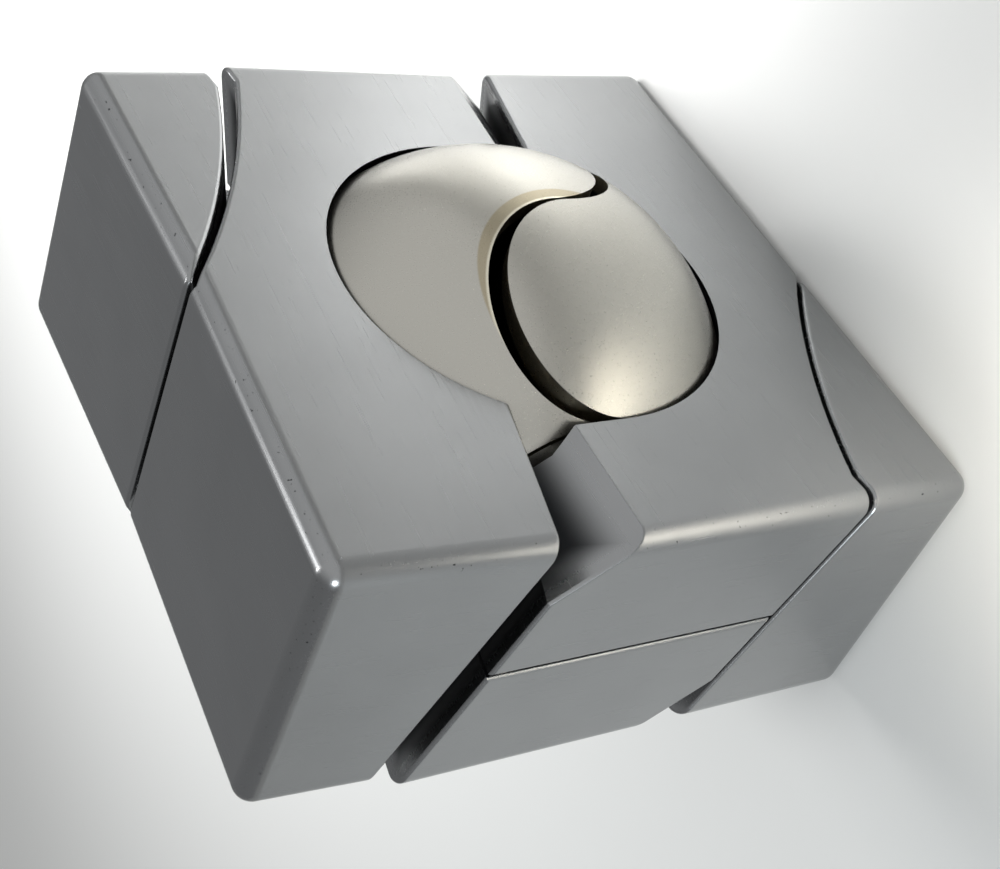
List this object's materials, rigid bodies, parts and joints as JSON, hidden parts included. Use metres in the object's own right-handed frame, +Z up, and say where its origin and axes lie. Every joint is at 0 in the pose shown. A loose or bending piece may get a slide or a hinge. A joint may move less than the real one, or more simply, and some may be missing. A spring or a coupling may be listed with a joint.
{
  "type": "take-apart puzzle",
  "caption": "Square cast-metal take-apart puzzle: interlocking corner castings round a split ball that turns in its socket, with one side sliding off the other.",
  "frame": {"origin": "centre of the ball", "axes": "stood on the block's right side: +Z up away from that side, -Y out of the face with the ball's pole, +X to the right seen from there"},
  "size_m": [0.0436, 0.0316, 0.044],
  "materials": {
    "block_metal": "dark nickel plate, satin, fine hand-brushed lines",
    "ball_metal": "pale satin nickel, slightly warm"
  },
  "bodies": {
    "right_half": {"back_right_block": "block_metal", "front_right_block": "block_metal"},
    "left_half": {"back_left_block": "block_metal"},
    "loose_block": {"front_left_block": "block_metal"},
    "left_ball": {"ball_left_half": "ball_metal"},
    "right_ball": {"ball_right_half": "ball_metal"}
  },
  "joints": [
    {"name": "halves_slide", "type": "slide", "parent": "right_half", "child": "left_half", "axis": [0, 0, 1], "range_m": [0, 0.034]},
    {"name": "block_swing", "type": "hinge", "parent": "left_half", "child": "loose_block", "pos_m": [0, 0, 0], "axis": [0, -1, 0], "range_deg": [0, 3]},
    {"name": "right_ball_turn", "type": "hinge", "parent": "right_half", "child": "right_ball", "pos_m": [0, 0, 0], "axis": [0, -1, 0], "continuous": true},
    {"name": "left_ball_turn", "type": "hinge", "parent": "left_half", "child": "left_ball", "pos_m": [0, 0, 0], "axis": [0, -1, 0], "continuous": true}
  ],
  "couplings": [
    {"joint": "left_ball_turn", "follows": "right_ball_turn", "ratio": 1}
  ]
}
